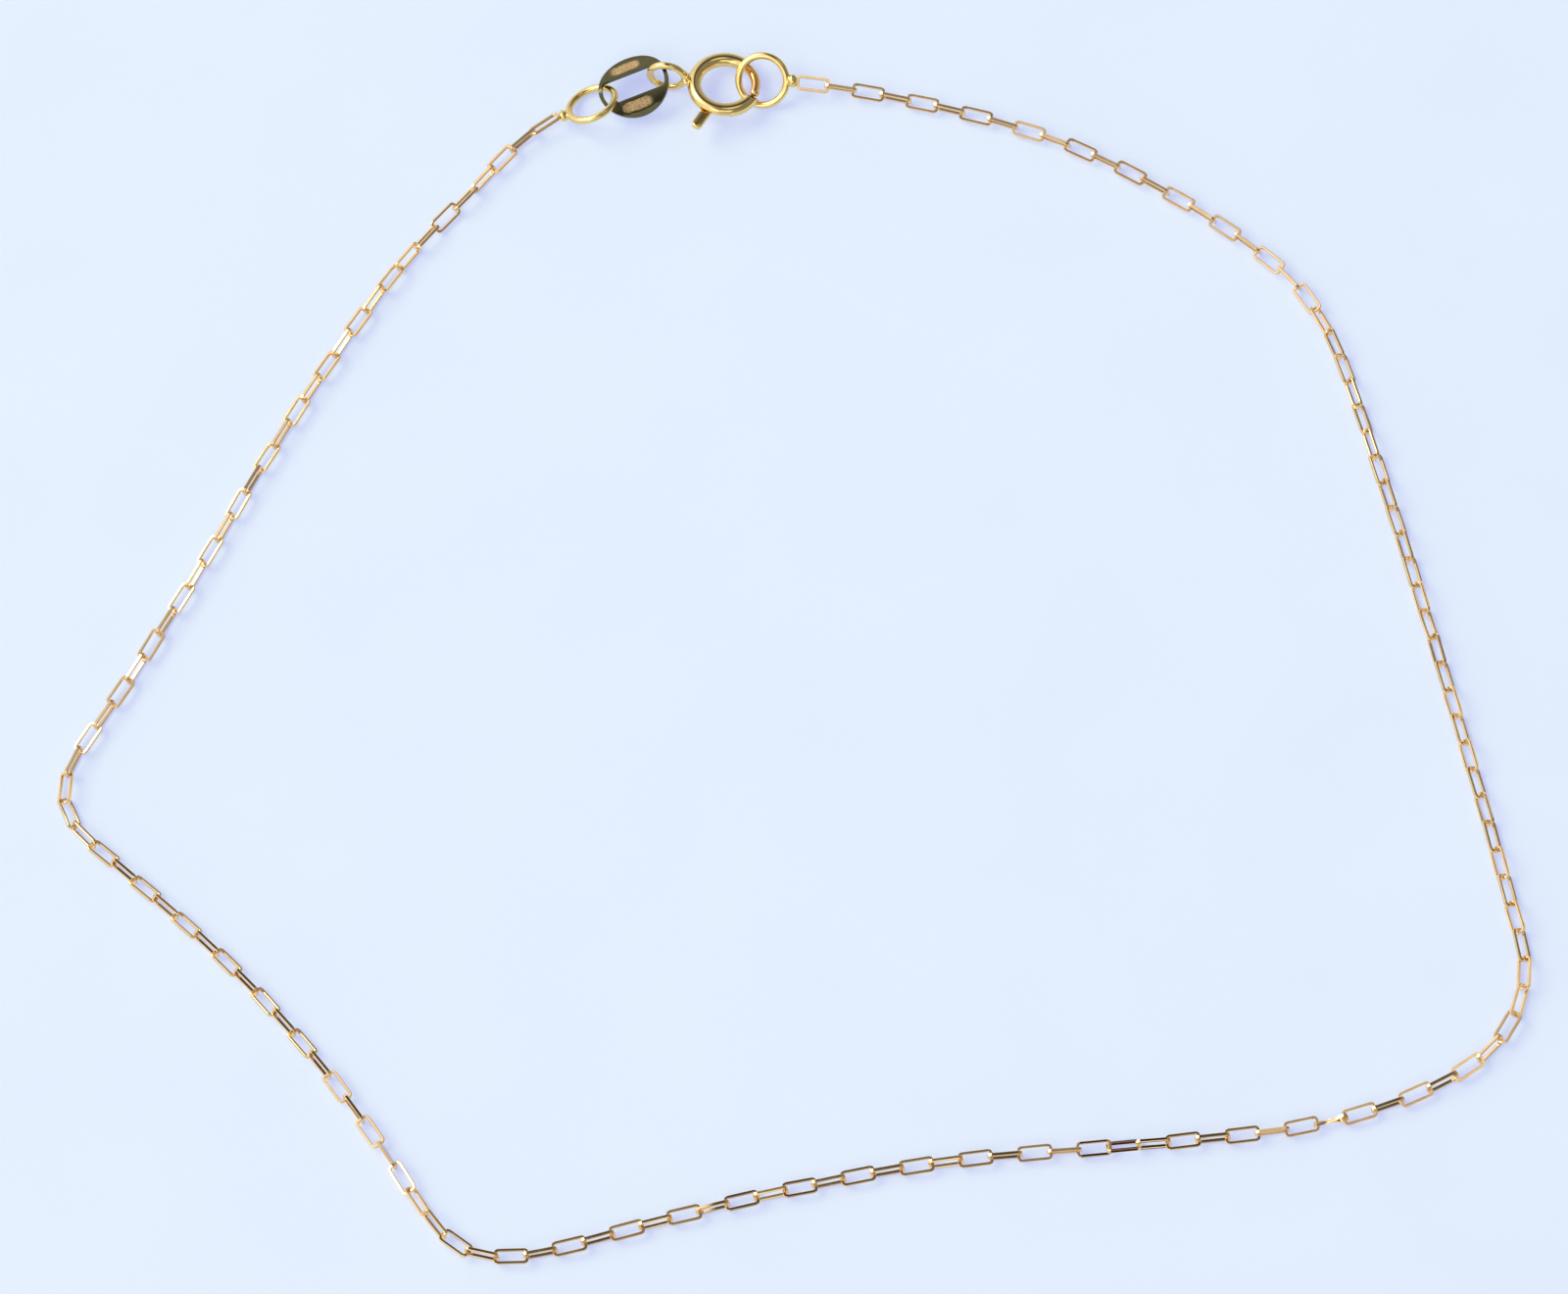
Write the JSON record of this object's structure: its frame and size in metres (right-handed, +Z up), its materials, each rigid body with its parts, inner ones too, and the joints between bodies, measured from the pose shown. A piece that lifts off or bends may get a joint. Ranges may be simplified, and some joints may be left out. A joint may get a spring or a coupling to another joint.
{
  "type": "chain anklet",
  "caption": "Fine gold link-chain anklet closed by a spring ring, with an oval tag beside the clasp, lying open on a surface.",
  "frame": {"origin": "middle of the laid anklet's box, on the surface it lies on", "axes": "+X along the longest extent of the loop, +Y towards the clasp, +Z up from the surface"},
  "size_m": [0.0933, 0.0823, 0.0028],
  "materials": {
    "chain_gold": "polished, diamond-cut",
    "clasp_gold": "polished",
    "tag_gold": "mirror polished, with matt stamped fields"
  },
  "bodies": {
    "root": {"chain": "chain_gold", "right_end_ring": "clasp_gold", "left_end_ring": "clasp_gold", "oval_tag": "tag_gold", "spring_ring": "clasp_gold"},
    "bolt": {"bolt": "clasp_gold"}
  },
  "joints": [
    {"name": "bolt_draw", "type": "hinge", "parent": "root", "child": "bolt", "pos_m": [-0.00529, 0.03862, 0.00111], "axis": [0.0979, 0.1677, 0.981], "range_deg": [0, 28], "stiffness_Nm_per_rad": 0.002, "springref_deg": -28.65}
  ]
}
